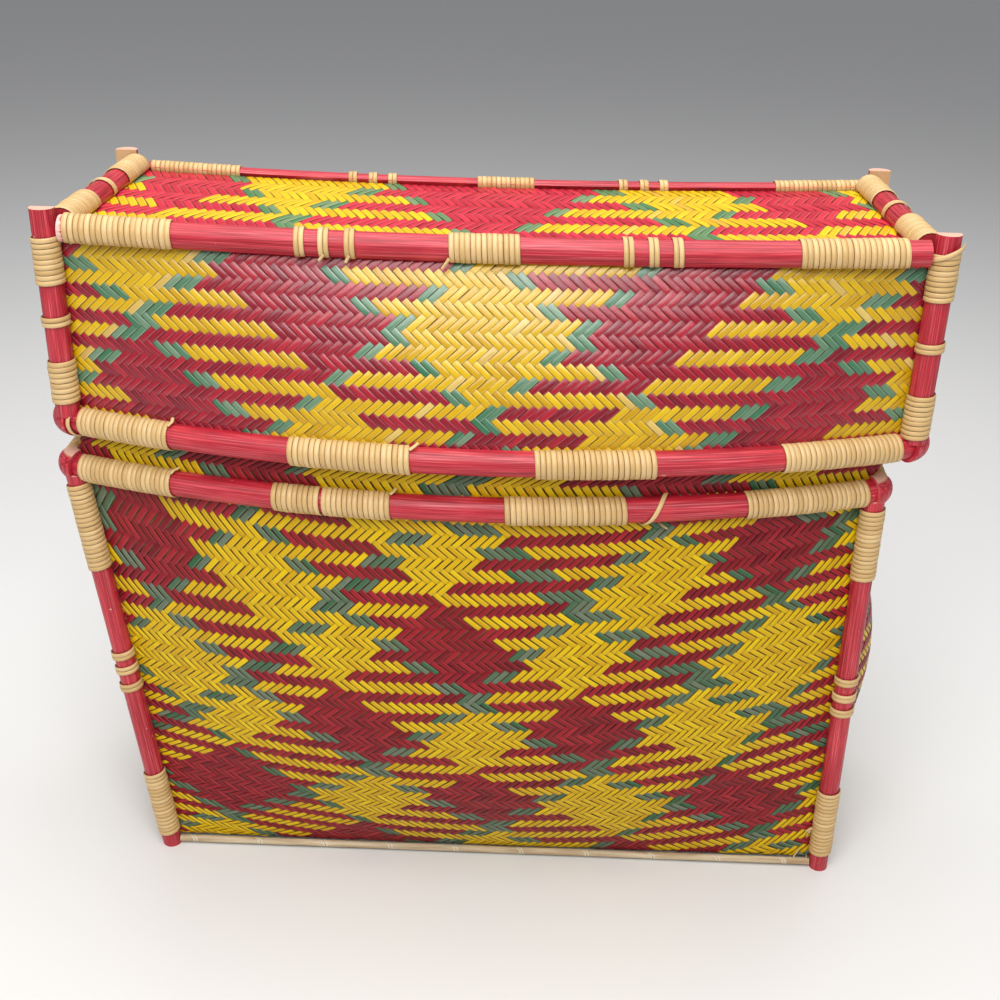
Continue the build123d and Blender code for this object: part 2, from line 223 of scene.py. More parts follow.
# Light streaks along the lacquer: partly rubbed wear, partly painted pinkish sheen
RUBBED_AND_SHEEN_TINT = ((230, 116, 122), 0.46, 0.3, 0, 0.65)
BLOTCH_TINT = ((220, 62, 66), 0.55, 0.75, 0, 0.4)
FLECK_TINT = ((236, 196, 176), 0.79, 0.83, 0, 0.85)
BARE_WOOD = (222, 184, 138)
BARE_TINT = ((186, 138, 92), 0.35, 0.7)
CUT_END = (226, 176, 152)
WHITTLED_WOOD = (240, 206, 190)
WHITTLED_TINT = ((214, 150, 140), 0.35, 0.7)
ROD = (214, 196, 162)
ROD_TINT = ((164, 134, 96), 0.35, 0.7)
ROD_RING = ((236, 226, 200), 0.0, 0.0016, 1, 0)
ROD_JOINT_LINE = ((104, 76, 50), 0.0005, 0.0, 0, 0.9)
BAND_YELLOW, BAND_TINT = (176, 138, 34), ((116, 26, 36), -0.15, 0.15)
SHADE, SHADE_SHARE = (40, 22, 12), 0.68
FOLD_YELLOW, FOLD_TINT = (186, 148, 30), ((132, 24, 36), 0.45, 0.55)
BANDS_PER_METRE = 72.0
ROD_JOINT = 37.0
WHITTLED_X = -189.0
WHITTLED_RAGGED, WHITTLED_BLUR = 0.004, 0.0005

# Bump: strength and distance in metres
STRIP_BUMP = (0.35, 0.0002)
POLE_BUMP = (0.3, 0.0002)
ROD_BUMP = (0.3, 0.0003)

# Cane that is wound round a pole, and its section
CANE_PITCH = 2.5
BAND_PITCH = 2.35
CANE_THICKNESS = 1.0
CANE_SEAT = 0.05
CANE_ACROSS = np.array([-1, -0.84, 0, 0.84, 1])
CANE_CROWN = np.array([0.5, 0.94, 1.0, 0.94, 0.5])
# Nearness to the edges across the cane, where painted shade darkens it
CANE_RIM_SHARE = np.abs(CANE_ACROSS) ** 8
CANE_SHIFT = 0.16
CROWN_LEAST, CROWN_BY_TURN = 0.9, 0.25
HALF_LEAST, HALF_BY_TURN = 0.95, 0.05
TURN_POINTS = 20
TURN_GRAIN, TURN_APART, WRAP_APART = 2.0, 0.1, 50
LEAST_COSINE = 1e-3

# Places of the cane wraps along each pole, as shares of its length
TOP_FRONT = ((0.006, 0.131), (0.45, 0.532), (0.852, 0.975))
TOP_FRONT_BANDS = (0.278, 0.306, 0.336, 0.656, 0.685, 0.713)
TOP_BACK = ((0.012, 0.136), (0.466, 0.545), (0.877, 0.999))
TOP_BACK_BANDS = (0.293, 0.321, 0.348, 0.668, 0.697, 0.724)
TOP_SIDE = ((0, 0.3), (0.7, 1))
TOP_SIDE_BANDS = (0.5,)
LID_RIM_WRAPS = ((0.012, 0.131), (0.277, 0.416), (0.555, 0.691), (0.84, 0.988))
BODY_RIM_WRAPS = ((0.006, 0.134), (0.264, 0.322), (0.325, 0.407), (0.542, 0.686), (0.833, 0.993))
LID_SIDE_WRAPS = ((0.05, 0.35), (0.65, 0.95))
BODY_SIDE_WRAPS = ((0.02, 0.36), (0.64, 0.98))
LID_POST_WRAPS = {"left": ((0.1, 0.305), (0.661, 0.876)), "right": ((0.057, 0.268), (0.707, 0.92))}
LID_POST_BANDS = (0.492,)
BODY_POST_WRAPS = {"left": ((0.036, 0.216), (0.764, 0.966)), "right": ((0.047, 0.231), (0.801, 0.966))}
BODY_POST_BANDS = {"left": (0.461, 0.507, 0.545), "right": (0.46, 0.5, 0.542)}

# Loose cane on the poles: share of the length, degrees round from the front, and lift
STRAND_WIDTH = 2.2
TAIL_WIDTH = 1.6
STRAND_POINTS = 16
STRAND_TONE, STRAND_GRAIN, STRAND_APART = 0.8, 4.0, 3.3
STRANDS = {
    "body_rim_binding_front": (
        ((0.735, -100, 0.8), (0.73, -70, 0.3), (0.722, -20, 0.0), (0.712, 45, 0.0), (0.705, 100, 0.4)),
    ),
    "lid_rim_binding_front": (
        ((0.0, -110, 0.3), (0.001, -60, 0.6), (0.0, 0, 0.5), (0.002, 60, 0.6), (0.012, 110, 0.4)),
    ),
    "lid_post_binding_front_right": (
        ((0.885, -80, 0.7), (0.905, -30, 1.0), (0.94, 30, 1.0), (0.962, 85, 0.7)),
    ),
}
TAILS = {
    "body_rim_binding_front": (
        ((0.133, -60, 0.6), (0.136, -75, 1.3), (0.142, -85, 2.2)),
        ((0.406, -70, 0.6), (0.41, -82, 1.2), (0.412, -92, 2.0)),
        ((0.728, 95, 0.0), (0.733, 84, 1.8), (0.738, 78, 3.0)),
    ),
    "lid_rim_binding_front": (
        ((0.13, -60, 0.6), (0.134, -76, 1.4), (0.133, -88, 2.4)),
        ((0.415, -60, 0.6), (0.42, -72, 1.2), (0.424, -84, 2.0)),
    ),
    "lid_top_binding_front": (
        ((0.452, 66, 0.4), (0.449, 78, 1.4), (0.444, 86, 4.0)),
        ((0.308, 70, 0.3), (0.305, 82, 1.0), (0.302, 88, 2.2)),
        ((0.337, 70, 0.3), (0.335, 82, 1.0), (0.333, 88, 2.4)),
    ),
    "body_post_binding_front_right": (
        ((0.118, -75, 0.3), (0.112, -88, 1.5), (0.1, -95, 3.2)),
        ((0.11, -85, 1.0), (0.098, -92, 2.0), (0.083, -97, 2.4)),
        ((0.045, -100, 5.0), (0.034, -96, 6.4), (0.022, -92, 8.2)),
        ((0.03, -95, 1.2), (0.016, -92, 0.8), (0.005, -86, 0.2)),
    ),
    "lid_post_binding_front_left": (
        ((0.87, 60, 0.8), (0.874, 85, 1.2), (0.878, 105, 2.0)),
    ),
}

SIDES = {"front": FRONT, "right": RIGHT, "back": BACK, "left": LEFT}
HANDS = {"left": -1, "right": 1}
ENDS = {"front": -1, "back": 1}

# Camera fitted to the photograph
EYE = (17.13, -633.37, 504.65)
PITCH, YAW, ROLL = 0.4545184, 0.0191828, -0.0246114
LENS = 46.8
SENSOR = 36.0
CLIP_START = 0.01

# Stage in metres and watts: each light's place, the point it looks at, its size and its power
FLOOR_SIZE = 60
FLOOR_COLOUR = (0.78, 0.77, 0.75, 1)
FLOOR_ROUGHNESS = 0.85
SURROUND_COLOUR = (0.93, 0.95, 1, 1)
SURROUND_STRENGTH = 0.3
NEARLY_UP = (0, 0.01, 1)
LIGHTS = {
    "key": ((-0.05, -0.66, 1.36), (0, 0, 0.3), (0.6, 0.6), 7),
    "window": ((-0.1, -1.1, 1.18), (0, 0, 0.3), (1.7, 0.5), 12),
    "fill": ((-1.3, -1.3, 0.9), (0, 0, 0.2), (1.2, 1.2), 1),
    "sky": ((0, 0.2, 1.4), (0, 0, 0.3), (1.2, 1.2), 13),
}


def body_plan(z):
    """Middle, half sizes and bows of the basket's outline at heights."""
    level = np.minimum(z, BODY_HEIGHT)
    share = (level - BASE_LIFT) / (BODY_HEIGHT - BASE_LIFT)
    swell = np.sin(np.pi * share) ** 2
    rise = 1 - (1 - share) ** RIM_BOW_POWER
    plan = (
        LEAN - 2 * LEAN * share,
        (BASE_WIDTH + (RIM_WIDTH - BASE_WIDTH) * share) / 2,
        (BASE_DEPTH + (RIM_DEPTH - BASE_DEPTH) * share) / 2,
        BASE_BOW + RIM_BOW * rise + BELLY_FRONT * swell,
        SIDE_BOW + BELLY_SIDE * swell,
    )
    blend = np.clip((z - NECK_LOW) / (LID_LOW - NECK_LOW), 0, 1)
    lid = lid_plan(z)
    neck = (0 * z, lid[1] - NECK_INSET, lid[2] - NECK_INSET, lid[3], SIDE_BOW + 0 * z)
    return tuple(a + (b - a) * blend for a, b in zip(plan, neck))


def lid_plan(z):
    """Middle, half sizes and bows of the lid's outline at heights."""
    share = np.clip((z - LID_RIM) / (LID_EDGE - LID_SAG - LID_RIM), 0, 1)
    bow = LID_TOP_BOW + LID_RIM_BOW * (1 - share ** FLARE)
    same = 0 * z
    return (same, same + LID_WIDTH / 2, same + LID_DEPTH / 2, bow, same + LID_SIDE_BOW)


def side_arc(plan, side):
    """Chord, reach, bow, radius and half angle of one bowed side of an outline."""
    middle, half_x, half_y, bow_front, bow_side = plan
    wide = side in (FRONT, BACK)
    chord = (half_x if wide else half_y) - CORNER
    reach = (half_y if wide else half_x) - CORNER
    bow = bow_front if wide else bow_side
    radius = (chord ** 2 + bow ** 2) / (2 * bow)
    return chord, reach, bow, radius, np.arcsin(chord / radius)


def facing_of(side):
    """Angle at which a side faces out."""
    return math.pi / 2 * (side - 1)


def wall_point(plan, side, run, grow):
    """Points on a wall, by the run along it from its middle and the height off it."""
    chord, reach, bow, radius, half = side_arc(plan, side)
    length = side_length(plan, side)
    past = np.maximum(np.abs(run) - length, 0)
    angle = np.clip(run, -length, length) / (radius + CORNER) + np.sign(run) * past / CORNER
    turned = past > 0
    arm = np.where(turned, CORNER, radius + CORNER) + grow
    along = np.where(turned, np.sign(run) * chord, 0) + arm * np.sin(angle)
    out = np.where(turned, reach, reach + bow - radius) + arm * np.cos(angle)
    out_x = round(math.cos(facing_of(side)))
    out_y = round(math.sin(facing_of(side)))
    return plan[0] + out_x * out - out_y * along, out_y * out + out_x * along


def side_length(plan, side):
    """Half the length of a side of an outline."""
    chord, reach, bow, radius, half = side_arc(plan, side)
    return (radius + CORNER) * half


def strip_dyes(bands):
    """Number of the first strip, and the dye of each strip, from counted bands."""
    start, text = bands
    return start, "".join(word[0] * int(word[1:]) for word in text.split())


def mirrored(dyes):
    """The same strips counted from the other end."""
    start, line = dyes
    return -start - len(line), line[::-1]


def dye_numbers(dyes, strips, tan):
    """Dye of each strip as a number, on the lid with pale undyed strips among them."""
    start, line = dyes
    numbers = np.array([DYE_LETTERS.index(letter) for letter in line])
    low, high = strips.min() - 1, strips.max() + 1
    every = np.arange(low, high + 1)
    dyed = numbers[(every - start) % len(line)]
    green, yellow = DYE_LETTERS.index("G"), DYE_LETTERS.index("Y")
    after = (dyed == yellow) & ((np.roll(dyed, 1) == green) | (np.roll(dyed, -1) == green))
    luck = chance.random(len(every))
    pale = np.where(after, luck < TAN_AFTER_GREEN, (luck < TAN_AT_RANDOM) & (dyed == yellow))
    dyed = np.where(pale & tan, DYE_LETTERS.index("T"), dyed)
    return dyed[strips - low]


def quad_faces(count, rows, columns):
    """Corner numbers of the faces of count grids of points."""
    r, c = np.meshgrid(np.arange(rows - 1), np.arange(columns - 1), indexing="ij")
    first = (r * columns + c).ravel()
    face = np.stack([first, first + 1, first + columns + 1, first + columns], axis=1)
    return (np.arange(count)[:, None, None] * rows * columns + face[None]).reshape(-1, 4)


def without_slivers(points, faces, numbers):
    """The faces that have an area, and their material numbers."""
    corners = points[faces]
    across = np.cross(corners[:, 2] - corners[:, 0], corners[:, 3] - corners[:, 1])
    kept = np.linalg.norm(across, axis=1) > LEAST_AREA
    return faces[kept], numbers[kept]


def add_attribute(mesh, key, values):
    """Point attribute of numbers or vectors."""
    kind, field = ("FLOAT_VECTOR", "vector") if values.ndim == 2 else ("FLOAT", "value")
    layer = mesh.attributes.new(key, kind, "POINT")
    layer.data.foreach_set(field, values.astype(np.float32).ravel())


def make_mesh(name, points, faces, numbers, attributes, materials):
    """Mesh object of quads in metres, smooth, with point attributes."""
    faces, numbers = without_slivers(points, faces, numbers)
    used, corners = np.unique(faces, return_inverse=True)
    corners = corners.ravel().astype(np.int32)
    mesh = bpy.data.meshes.new(name)
    mesh.vertices.add(len(used))
    mesh.vertices.foreach_set("co", (points[used] * METRE).astype(np.float32).ravel())
    mesh.loops.add(len(corners))
    mesh.loops.foreach_set("vertex_index", corners)
    mesh.polygons.add(len(faces))
    mesh.polygons.foreach_set("loop_start", np.arange(0, len(corners), 4, dtype=np.int32))
    mesh.polygons.foreach_set("loop_total", np.full(len(faces), 4, np.int32))
    mesh.polygons.foreach_set("material_index", numbers.astype(np.int32))
    mesh.polygons.foreach_set("use_smooth", np.ones(len(faces), bool))
    for key, values in attributes.items():
        add_attribute(mesh, key, values[used])
    for material in materials:
        mesh.materials.append(material)
    mesh.update(calc_edges=True)
    mesh.validate()
    piece = bpy.data.objects.new(name, mesh)
    bpy.context.scene.collection.objects.link(piece)
    return piece


def joined(laid):
    """Points, faces, material numbers and attributes of several grids as one."""
    points, faces, numbers, attributes = zip(*laid)
    starts = np.cumsum([0] + [len(p) for p in points])
    return (
        np.concatenate(points),
        np.concatenate([f + start for f, start in zip(faces, starts)]),
        np.concatenate(numbers),
        {key: np.concatenate([a[key] for a in attributes]) for key in attributes[0]},
    )


def floats_on(panel, slash):
    """Strip number and first crossing of the slash or backslash floats that lie on a panel."""
    strip, first = np.meshgrid(STRIP_NUMBERS, STRIP_NUMBERS, indexing="ij")
    step = first - strip if slash else strip - first
    over = (step - panel["phase"]) % TURN == (1 if slash else 0)
    strip, first = strip[over], first[over]
    middle = (strip + 0.5, first + SPAN / 2)
    run, rise = panel["place"](*(middle if slash else middle[::-1]))
    low, high = panel["rise"]
    inside = (rise > low - PAST_EDGE) & (rise < high + PAST_EDGE)
    inside &= np.abs(run) < panel["run"](rise) + PAST_EDGE
    return strip[inside], first[inside]


def draw_luck(strip):
    """Chance of each float, and of the strip it belongs to."""
    luck = chance.random((5, len(strip)))
    every = np.arange(strip.min(), strip.max() + 1)
    return luck, chance.random((3, len(every)))[:, strip - every[0]]


def float_grid(panel, strip, first, luck, strip_luck):
    """Places of each float's points along and across, in strips."""
    lengthwise, crosswise = panel["grid"]
    half = panel["strip"] / 2 * (WIDTH_LEAST + WIDTH_BY_STRIP * strip_luck[0] + WIDTH_BY_FLOAT * luck[0])
    shift = SHIFT_BY_STRIP * (strip_luck[1] - 0.5) + SHIFT_BY_FLOAT * (luck[1] - 0.5)
    along = first[:, None, None] + SPAN / 2 + (SPAN / 2 + TUCK) * lengthwise[None, :, None]
    side = strip[:, None, None] + 0.5 + shift[:, None, None] + half[:, None, None] * crosswise
    return np.broadcast_arrays(along, side)


def float_points(panel, slash, along, side, lift_luck):
    """Points of each float, arched along it and dropped at its edges."""
    lengthwise, crosswise = panel["grid"]
    run, rise = panel["place"](side, along) if slash else panel["place"](along, side)
    low, high = panel["rise"]
    rise = np.clip(rise, low, np.minimum(high, panel["ceiling"](run)))
    limit = panel["run"](rise)
    run = np.clip(run, -limit, limit)
    arch = (1 - np.abs(lengthwise) ** 3)[:, None]
    brow = np.abs(crosswise) ** 3
    lift = panel["lift"] * (LIFT_LEAST + LIFT_BY_FLOAT * lift_luck)
    drop = panel["drop"] * brow * (DROP_AT_ENDS + DROP_IN_MIDDLE * arch)
    height = SEAT + lift[:, None, None] * arch - drop
    return np.stack(panel["surface"](run, rise, height), axis=-1).reshape(-1, 3)


def point_attributes(shape, rim, tone, *grain):
    """Nearness to the rim (where shade is painted), tone and grain of the points of a grid."""
    grain = np.stack([np.broadcast_to(part, shape) for part in grain], axis=-1)
    return {
        "rim": np.broadcast_to(rim, shape).ravel(),
        "tone": np.broadcast_to(tone, shape).ravel(),
        "grain": grain.reshape(-1, 3),
    }


def float_attributes(panel, strip, first, along, luck, strip_luck):
    """Attributes of the points of each float."""
    lengthwise, crosswise = panel["grid"]
    # Nearness to the ends and sides of a float, where painted shade darkens it
    rim = np.maximum(np.abs(lengthwise)[:, None] ** 4, SIDE_SHADE * np.abs(crosswise) ** 4)
    tone = (TONE_BY_STRIP * strip_luck[2] + TONE_BY_FLOAT * luck[3])[:, None, None]
    grain = (along - first[:, None, None]) * GRAIN_LENGTH + GRAIN_APART * luck[4][:, None, None]
    apart = strip[:, None, None] * GRAIN_BY_STRIP
    return point_attributes(along.shape, rim, tone, grain, crosswise, apart)


def plait(panel, slash):
    """Points, faces, dyes and attributes of the floats of one direction on a panel."""
    strip, first = floats_on(panel, slash)
    luck, strip_luck = draw_luck(strip)
    along, side = float_grid(panel, strip, first, luck, strip_luck)
    points = float_points(panel, slash, along, side, luck[2])
    attributes = float_attributes(panel, strip, first, along, luck, strip_luck)
    dyes = dye_numbers(panel["slash_dyes" if slash else "backslash_dyes"], strip, panel["of_lid"])
    count, rows, columns = along.shape
    faces = quad_faces(count, rows, columns)
    if slash == panel["inner"]:
        faces = faces[:, ::-1]
    return points, faces, np.repeat(dyes, (rows - 1) * (columns - 1)), attributes


def plaited_piece(name, panels, materials, body):
    """One mesh of all the floats of some panels."""
    laid = [plait(panel, slash) for panel in panels for slash in (False, True)]
    piece = make_mesh(name, *joined(laid), materials)
    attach(piece, body)


def even_lattice(middle, step, level, rise):
    """Places of crossings on an even lattice."""
    def place(i, j):
        return middle + step * (i + j), level + rise * (j - i)
    return place


def three_way(top, mid, low, share):
    """Curve through three values at the top, the middle and the foot."""
    return (
        top * share * (2 * share - 1)
        + mid * 4 * share * (1 - share)
        + low * (1 - share) * (1 - 2 * share)
    )


def body_front_lattice(i, j):
    """Places of crossings on the basket's front, where the rows sag towards the foot."""
    across = i - FRONT_FIRST + j
    flat = FRONT_LEVEL + FRONT_RISE * (j - i + FRONT_FIRST)
    rise = flat
    for repeat in range(FRONT_ROUNDS):
        share = np.clip((rise - BASE_LIFT) / (BODY_HEIGHT - BASE_LIFT), *FRONT_SHARES)
        run = FRONT_MIDDLE + (FRONT_STEP - FRONT_STEP_LOSS * share) * across
        far = run / FRONT_HALF
        sag = three_way(*FRONT_SAG, share)
        tilt = three_way(*FRONT_TILT, share)
        rise = flat + sag * far ** 2 + tilt * far
    return run, rise


def lid_top_lattice(i, j):
    """Places of crossings on the lid's top, where the rows lie further apart."""
    return LID_MIDDLE + LID_STEP * (i + j), -LID_DEPTH / 2 + TOP_RISE * (j - i - TOP_FIRST)


def on_wall(plan, side):
    """Outer surface of a wall for a panel."""
    def surface(run, rise, height):
        x, y = wall_point(plan(rise), side, run, height)
        return x, y, rise
    return surface


def in_wall(plan, side):
    """Inner surface of a wall, which is straight between the levels of its hollow."""
    levels = LID_HOLLOW if plan is lid_plan else BODY_HOLLOW

    def surface(run, rise, height):
        number = np.clip(np.searchsorted(levels, rise) - 1, 0, len(levels) - 2)
        low, high = levels[number], levels[number + 1]
        share = (rise - low) / (high - low)
        here = side_length(plan(rise), side)
        below, above = (
            wall_point(plan(z), side, run * side_length(plan(z), side) / here, -WALL - height)
            for z in (low, high)
        )
        return (*(a + (b - a) * share for a, b in zip(below, above)), rise)
    return surface


def on_top(inner):
    """Surface of the lid's sagging top, by the run to the right and the rise to the back."""
    def surface(run, rise, height):
        arm = SAG_RADIUS + WALL + height if inner else SAG_RADIUS - height
        x = run * arm / SAG_RADIUS
        return x, rise, SAG_CENTRE - np.sqrt(arm ** 2 - x ** 2)
    return surface


def under_top(drop):
    """Height just under the lid's sagging top, by the run."""
    def ceiling(run):
        x = np.clip(run, -LID_WIDTH / 2, LID_WIDTH / 2)
        return SAG_CENTRE - np.sqrt(SAG_RADIUS ** 2 - x ** 2) - drop
    return ceiling


def panel_of(surface, place, rise, run, dyes, phase, of_lid, inner):
    """What plait needs to know of a surface; dyes are those of the slash and backslash strips."""
    drop = LID_EDGE_DROP if of_lid else BODY_EDGE_DROP
    return {
        "surface": surface, "place": place, "rise": rise, "run": run, "inner": inner, "of_lid": of_lid,
        "phase": phase + SPAN if inner else phase,
        "strip": LID_STRIP if of_lid else BODY_STRIP,
        "drop": INNER_DROP if inner else drop,
        "lift": INNER_LIFT if inner else LIFT,
        "grid": INNER_GRID if inner else FINE_GRID,
        "ceiling": lambda run: POST_TOP,
        "slash_dyes": dyes[0], "backslash_dyes": dyes[1],
    }


def wall_panel(plan, side, place, rise, dyes, phase=0, inner=False):
    """Panel of a wall."""
    def run(z):
        return side_length(plan(z), side) + PAST_CORNER
    surface = in_wall(plan, side) if inner else on_wall(plan, side)
    panel = panel_of(surface, place, rise, run, dyes, phase, plan is lid_plan, inner)
    if plan is lid_plan and side in (FRONT, BACK):
        panel["ceiling"] = under_top(WALL + UNDER_TOP if inner else UNDER_TOP)
    return panel


def top_panel(dyes, inner=False):
    """Panel of the lid's top."""
    def run(y):
        return 0 * y + LID_WIDTH / 2 + TOP_OVERHANG
    reach = LID_DEPTH / 2 + TOP_OVERHANG / 2
    return panel_of(on_top(inner), lid_top_lattice, (-reach, reach), run, dyes, 0, True, inner)


def shader(name):
    """New material with its nodes and the surface shader."""
    material = bpy.data.materials.new(name)
    material.use_nodes = True
    tree = material.node_tree
    return material, tree, tree.nodes["Principled BSDF"]


def feed(tree, socket, value):
    """Set a socket to a value or link it to another."""
    if isinstance(value, bpy.types.NodeSocket):
        tree.links.new(value, socket)
    else:
        socket.default_value = value


def math_node(tree, operation, *values):
    """Maths node whose inputs are numbers or sockets."""
    node = tree.nodes.new("ShaderNodeMath")
    node.operation = operation
    for socket, value in zip(node.inputs, values):
        feed(tree, socket, value)
    return node.outputs[0]


def vector_node(tree, operation, first, key, second):
    """Vector maths node of a socket and a value or socket."""
    node = tree.nodes.new("ShaderNodeVectorMath")
    node.operation = operation
    tree.links.new(first, node.inputs[0])
    feed(tree, node.inputs[key], second)
    return node.outputs[0]


def mix_colour(tree, share, first, second, blend="MIX"):
    """Colour between two colours."""
    node = tree.nodes.new("ShaderNodeMix")
    node.data_type = "RGBA"
    node.blend_type = blend
    feed(tree, node.inputs["Factor"], share)
    feed(tree, node.inputs["A"], first)
    feed(tree, node.inputs["B"], second)
    return next(s for s in node.outputs if s.type == "RGBA")


def attribute(tree, name, output="Fac"):
    """Socket of a point attribute."""
    node = tree.nodes.new("ShaderNodeAttribute")
    node.attribute_name = name
    return node.outputs[output]


def coordinates(tree, kind):
    """Socket of the object's own coordinates or normals."""
    return tree.nodes.new("ShaderNodeTexCoord").outputs[kind]


def parts_of(tree, vector):
    """Sockets of the three parts of a vector."""
    node = tree.nodes.new("ShaderNodeSeparateXYZ")
    tree.links.new(vector, node.inputs[0])
    return node.outputs


def stretched_noise(tree, vector, stretch, scale, detail=3.0):
    """Noise drawn out along some directions."""
    mapping = tree.nodes.new("ShaderNodeMapping")
    tree.links.new(vector, mapping.inputs["Vector"])
    mapping.inputs["Scale"].default_value = stretch
    noise = tree.nodes.new("ShaderNodeTexNoise")
    noise.inputs["Scale"].default_value = scale
    noise.inputs["Detail"].default_value = detail
    tree.links.new(mapping.outputs["Vector"], noise.inputs["Vector"])
    return noise.outputs[0]


def pole_noise(tree, around, turn_scale, along_scale):
    """Noise that changes fast round a pole and slowly along it."""
    turn = tuple(turn_scale * part for part in around)
    turned = vector_node(tree, "MULTIPLY", coordinates(tree, "Normal"), 1, turn)
    placed = vector_node(tree, "SCALE", coordinates(tree, "Object"), "Scale", along_scale)
    return stretched_noise(tree, vector_node(tree, "ADD", turned, 1, placed), *POLE_NOISE)


def spread(tree, value, low, high, to_low=0.0, to_high=1.0):
    """Stretch a range of a value to another range."""
    node = tree.nodes.new("ShaderNodeMapRange")
    feed(tree, node.inputs["Value"], value)
    for key, number in zip(("From Min", "From Max", "To Min", "To Max"), (low, high, to_low, to_high)):
        node.inputs[key].default_value = number
    return node.outputs[0]


def colour(red, green, blue):
    """Linear colour of one given as it looks on a screen, 0 to 255."""
    def linear(value):
        value /= 255
        return value / 12.92 if value <= 0.04045 else ((value + 0.055) / 1.055) ** 2.4
    return (linear(red), linear(green), linear(blue), 1)


def tinted(tree, base, value, tint):
    """Colour that takes on a tint over a range of a value."""
    shade, *span = tint
    return mix_colour(tree, spread(tree, value, *span), base, colour(*shade))


def dress(tree, principled, base, roughness, relief, strength, distance):
    """Give a shader its colour, its roughness and a relief too fine for the mesh."""
    feed(tree, principled.inputs["Base Color"], base)
    feed(tree, principled.inputs["Roughness"], roughness)
    bump = tree.nodes.new("ShaderNodeBump")
    bump.inputs["Strength"].default_value = strength
    bump.inputs["Distance"].default_value = distance
    tree.links.new(relief, bump.inputs["Height"])
    tree.links.new(bump.outputs[0], principled.inputs["Normal"])


def strip_material(name, light, dark, pale, gloss):
    """Dyed strip: tone varies by strip and float, grain runs along it, one cut edge is pale, and painted
    shade darkens the float's ends and edges.
    """
    material, tree, principled = shader(name)
    grain = attribute(tree, "grain", "Vector")
    streak = stretched_noise(tree, grain, *STRIP_STREAK)
    stain = stretched_noise(tree, grain, *STRIP_STAIN)
    dyed = mix_colour(tree, spread(tree, attribute(tree, "tone"), *TONE_RANGE), dark, light)
    dyed = mix_colour(tree, spread(tree, streak, *STREAK_SHARE), dyed, dark)
    dyed = mix_colour(tree, spread(tree, stain, *STAIN_SHARE), dyed, dark)
    across = parts_of(tree, grain)["Y"]
    starts, ends = spread(tree, across, *CUT_STARTS), spread(tree, across, *CUT_ENDS)
    cut = math_node(tree, "MULTIPLY", starts, ends)
    dyed = mix_colour(tree, math_node(tree, "MULTIPLY", cut, CUT_SHARE), dyed, pale)
    # Painted shade darkens the ends and edges of each float
    shade = spread(tree, attribute(tree, "rim"), *STRIP_RIM_SHADE)
    dyed = mix_colour(tree, 1.0, dyed, shade, "MULTIPLY")
    rough, specular = gloss
    principled.inputs["Specular IOR Level"].default_value = specular
    roughness = spread(tree, streak, *STREAK_RANGE, rough - SMOOTHER, rough + ROUGHER)
    dress(tree, principled, dyed, roughness, streak, *STRIP_BUMP)
    return material


def strip_materials(dyes, gloss):
    """Materials of the strips of a piece, one for each dye."""
    return [
        strip_material(name, *(colour(*shade) for shade in shades), gloss)
        for name, shades in dyes.items()
    ]


def cane_material():
    """Split cane: pale, glossy skin with fine lines along each turn, and painted shade between the
    turns.
    """
    material, tree, principled = shader("cane")
    grain = attribute(tree, "grain", "Vector")
    streak = stretched_noise(tree, grain, *CANE_STREAK)
    stain = stretched_noise(tree, grain, *CANE_STAIN)
    base = mix_colour(tree, attribute(tree, "tone"), colour(*CANE_DARK), colour(*CANE_LIGHT))
    base = tinted(tree, base, streak, CANE_LINES)
    base = tinted(tree, base, stain, CANE_STAINS)
    # Painted shade darkens the edges of each turn, in the lines between turns
    shade = spread(tree, attribute(tree, "rim"), *CANE_RIM_SHADE)
    base = mix_colour(tree, 1.0, base, shade, "MULTIPLY")
    dress(tree, principled, base, spread(tree, streak, *CANE_ROUGHNESS), streak, *POLE_BUMP)
    return material


def lacquer_material(name, around, flat_axis=None, whittled_x=None):
    """Worn red lacquer, its light streaks partly rubbed and partly painted sheen; around picks the parts
    of the normal that turn round the pole.
    """
    material, tree, principled = shader(name)
    grain = pole_noise(tree, around, *POLE_GRAIN)
    fine = pole_noise(tree, around, *POLE_FINE)
    blotch = stretched_noise(tree, coordinates(tree, "Object"), *BLOTCH)
    fleck = stretched_noise(tree, coordinates(tree, "Object"), *FLECK)
    base = tinted(tree, colour(*LACQUER), grain, LACQUER_TINT)
    base = tinted(tree, base, fine, GROOVE_TINT)
    # Light streaks: partly rubbed wear, partly painted sheen
    base = tinted(tree, base, fine, RUBBED_AND_SHEEN_TINT)
    base = tinted(tree, base, blotch, BLOTCH_TINT)
    base = tinted(tree, base, fleck, FLECK_TINT)
    if flat_axis is not None:
        base = bare_cut(tree, base, flat_axis, grain)
    if whittled_x is not None:
        base = whittled_end(tree, base, whittled_x, grain)
    dress(tree, principled, base, spread(tree, fine, *LACQUER_ROUGHNESS), fine, *POLE_BUMP)
    return material


def bare_cut(tree, painted, flat_axis, grain):
    """Leave a post's cut ends and flat face bare; flat_axis is the way the flat faces."""
    parts = parts_of(tree, coordinates(tree, "Normal"))
    ends = spread(tree, math_node(tree, "ABSOLUTE", parts["Z"]), *CUT_END_RANGE)
    facing = math_node(tree, "MULTIPLY", parts["Y"], float(flat_axis))
    flat = spread(tree, facing, *CUT_FACE_RANGE)
    bare = tinted(tree, colour(*BARE_WOOD), grain, BARE_TINT)
    bare = mix_colour(tree, ends, bare, colour(*CUT_END))
    return mix_colour(tree, math_node(tree, "MAXIMUM", ends, flat), painted, bare)


